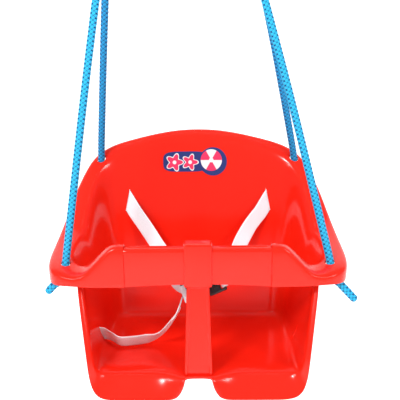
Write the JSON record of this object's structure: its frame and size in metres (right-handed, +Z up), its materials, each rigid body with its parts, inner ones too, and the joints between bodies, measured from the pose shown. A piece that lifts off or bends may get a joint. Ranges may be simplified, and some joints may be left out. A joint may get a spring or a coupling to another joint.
{
  "type": "toddler bucket swing",
  "caption": "Moulded plastic bucket swing seat with a front bar, crotch post and webbing harness, hung on rope legs from steel rings.",
  "frame": {"origin": "on the axis about which the swing swings, where the ropes bear on the two rings, above the middle of the seat", "axes": "+Z up, +X to the right for someone who faces the front of the seat, -Y towards that person"},
  "size_m": [0.4009, 0.2675, 0.6537],
  "materials": {
    "red_plastic": "glossy blow-moulded polyethylene with soft edges",
    "black_plastic": "satin acetal",
    "blue_rope": "braided polypropylene with dark flecks",
    "white_webbing": "flat woven polypropylene webbing",
    "zinc_steel": "zinc-plated",
    "sticker_print": "printed vinyl label"
  },
  "bodies": {
    "hanger": {"hanging_ring_left": "zinc_steel", "hanging_ring_right": "zinc_steel"},
    "seat": {"seat_shell": "red_plastic", "front_bar": "red_plastic", "crotch_post": "red_plastic", "top_knot_left": "blue_rope", "top_knot_right": "blue_rope", "rope_front_left": "blue_rope", "rope_rear_left": "blue_rope", "rope_front_right": "blue_rope", "rope_rear_right": "blue_rope", "stopper_knot_front_left": "blue_rope", "stopper_knot_rear_left": "blue_rope", "stopper_knot_front_right": "blue_rope", "stopper_knot_rear_right": "blue_rope", "shoulder_strap_left": "white_webbing", "shoulder_strap_right": "white_webbing", "lap_strap": "white_webbing", "strap_stop_left": "black_plastic", "strap_stop_right": "black_plastic", "strap_stop_lap": "black_plastic", "buckle_socket": "black_plastic", "sticker": "sticker_print"},
    "tongue": {"buckle_tongue": "black_plastic"},
    "latch_upper": {"latch_arm_upper": "black_plastic"},
    "latch_lower": {"latch_arm_lower": "black_plastic"}
  },
  "joints": [
    {"name": "swing", "type": "hinge", "parent": "hanger", "child": "seat", "pos_m": [0, 0, 0], "axis": [1, 0, 0], "range_deg": [-45, 45]},
    {"name": "buckle_slide", "type": "slide", "parent": "seat", "child": "tongue", "axis": [0.9135, 0, 0.4067], "range_m": [0, 0.03], "deforming": ["shoulder_strap_right"]},
    {"name": "latch_press_upper", "type": "hinge", "parent": "tongue", "child": "latch_upper", "pos_m": [0.00994, -0.06121, -0.4664], "axis": [-0.1469, -0.9325, 0.3299], "range_deg": [0, 8], "stiffness_Nm_per_rad": 0.02},
    {"name": "latch_press_lower", "type": "hinge", "parent": "tongue", "child": "latch_lower", "pos_m": [0.01685, -0.06779, -0.4819], "axis": [-0.1469, -0.9325, 0.3299], "range_deg": [-8, 0], "stiffness_Nm_per_rad": 0.02}
  ],
  "couplings": [
    {"joint": "latch_press_lower", "follows": "latch_press_upper", "ratio": -1}
  ]
}
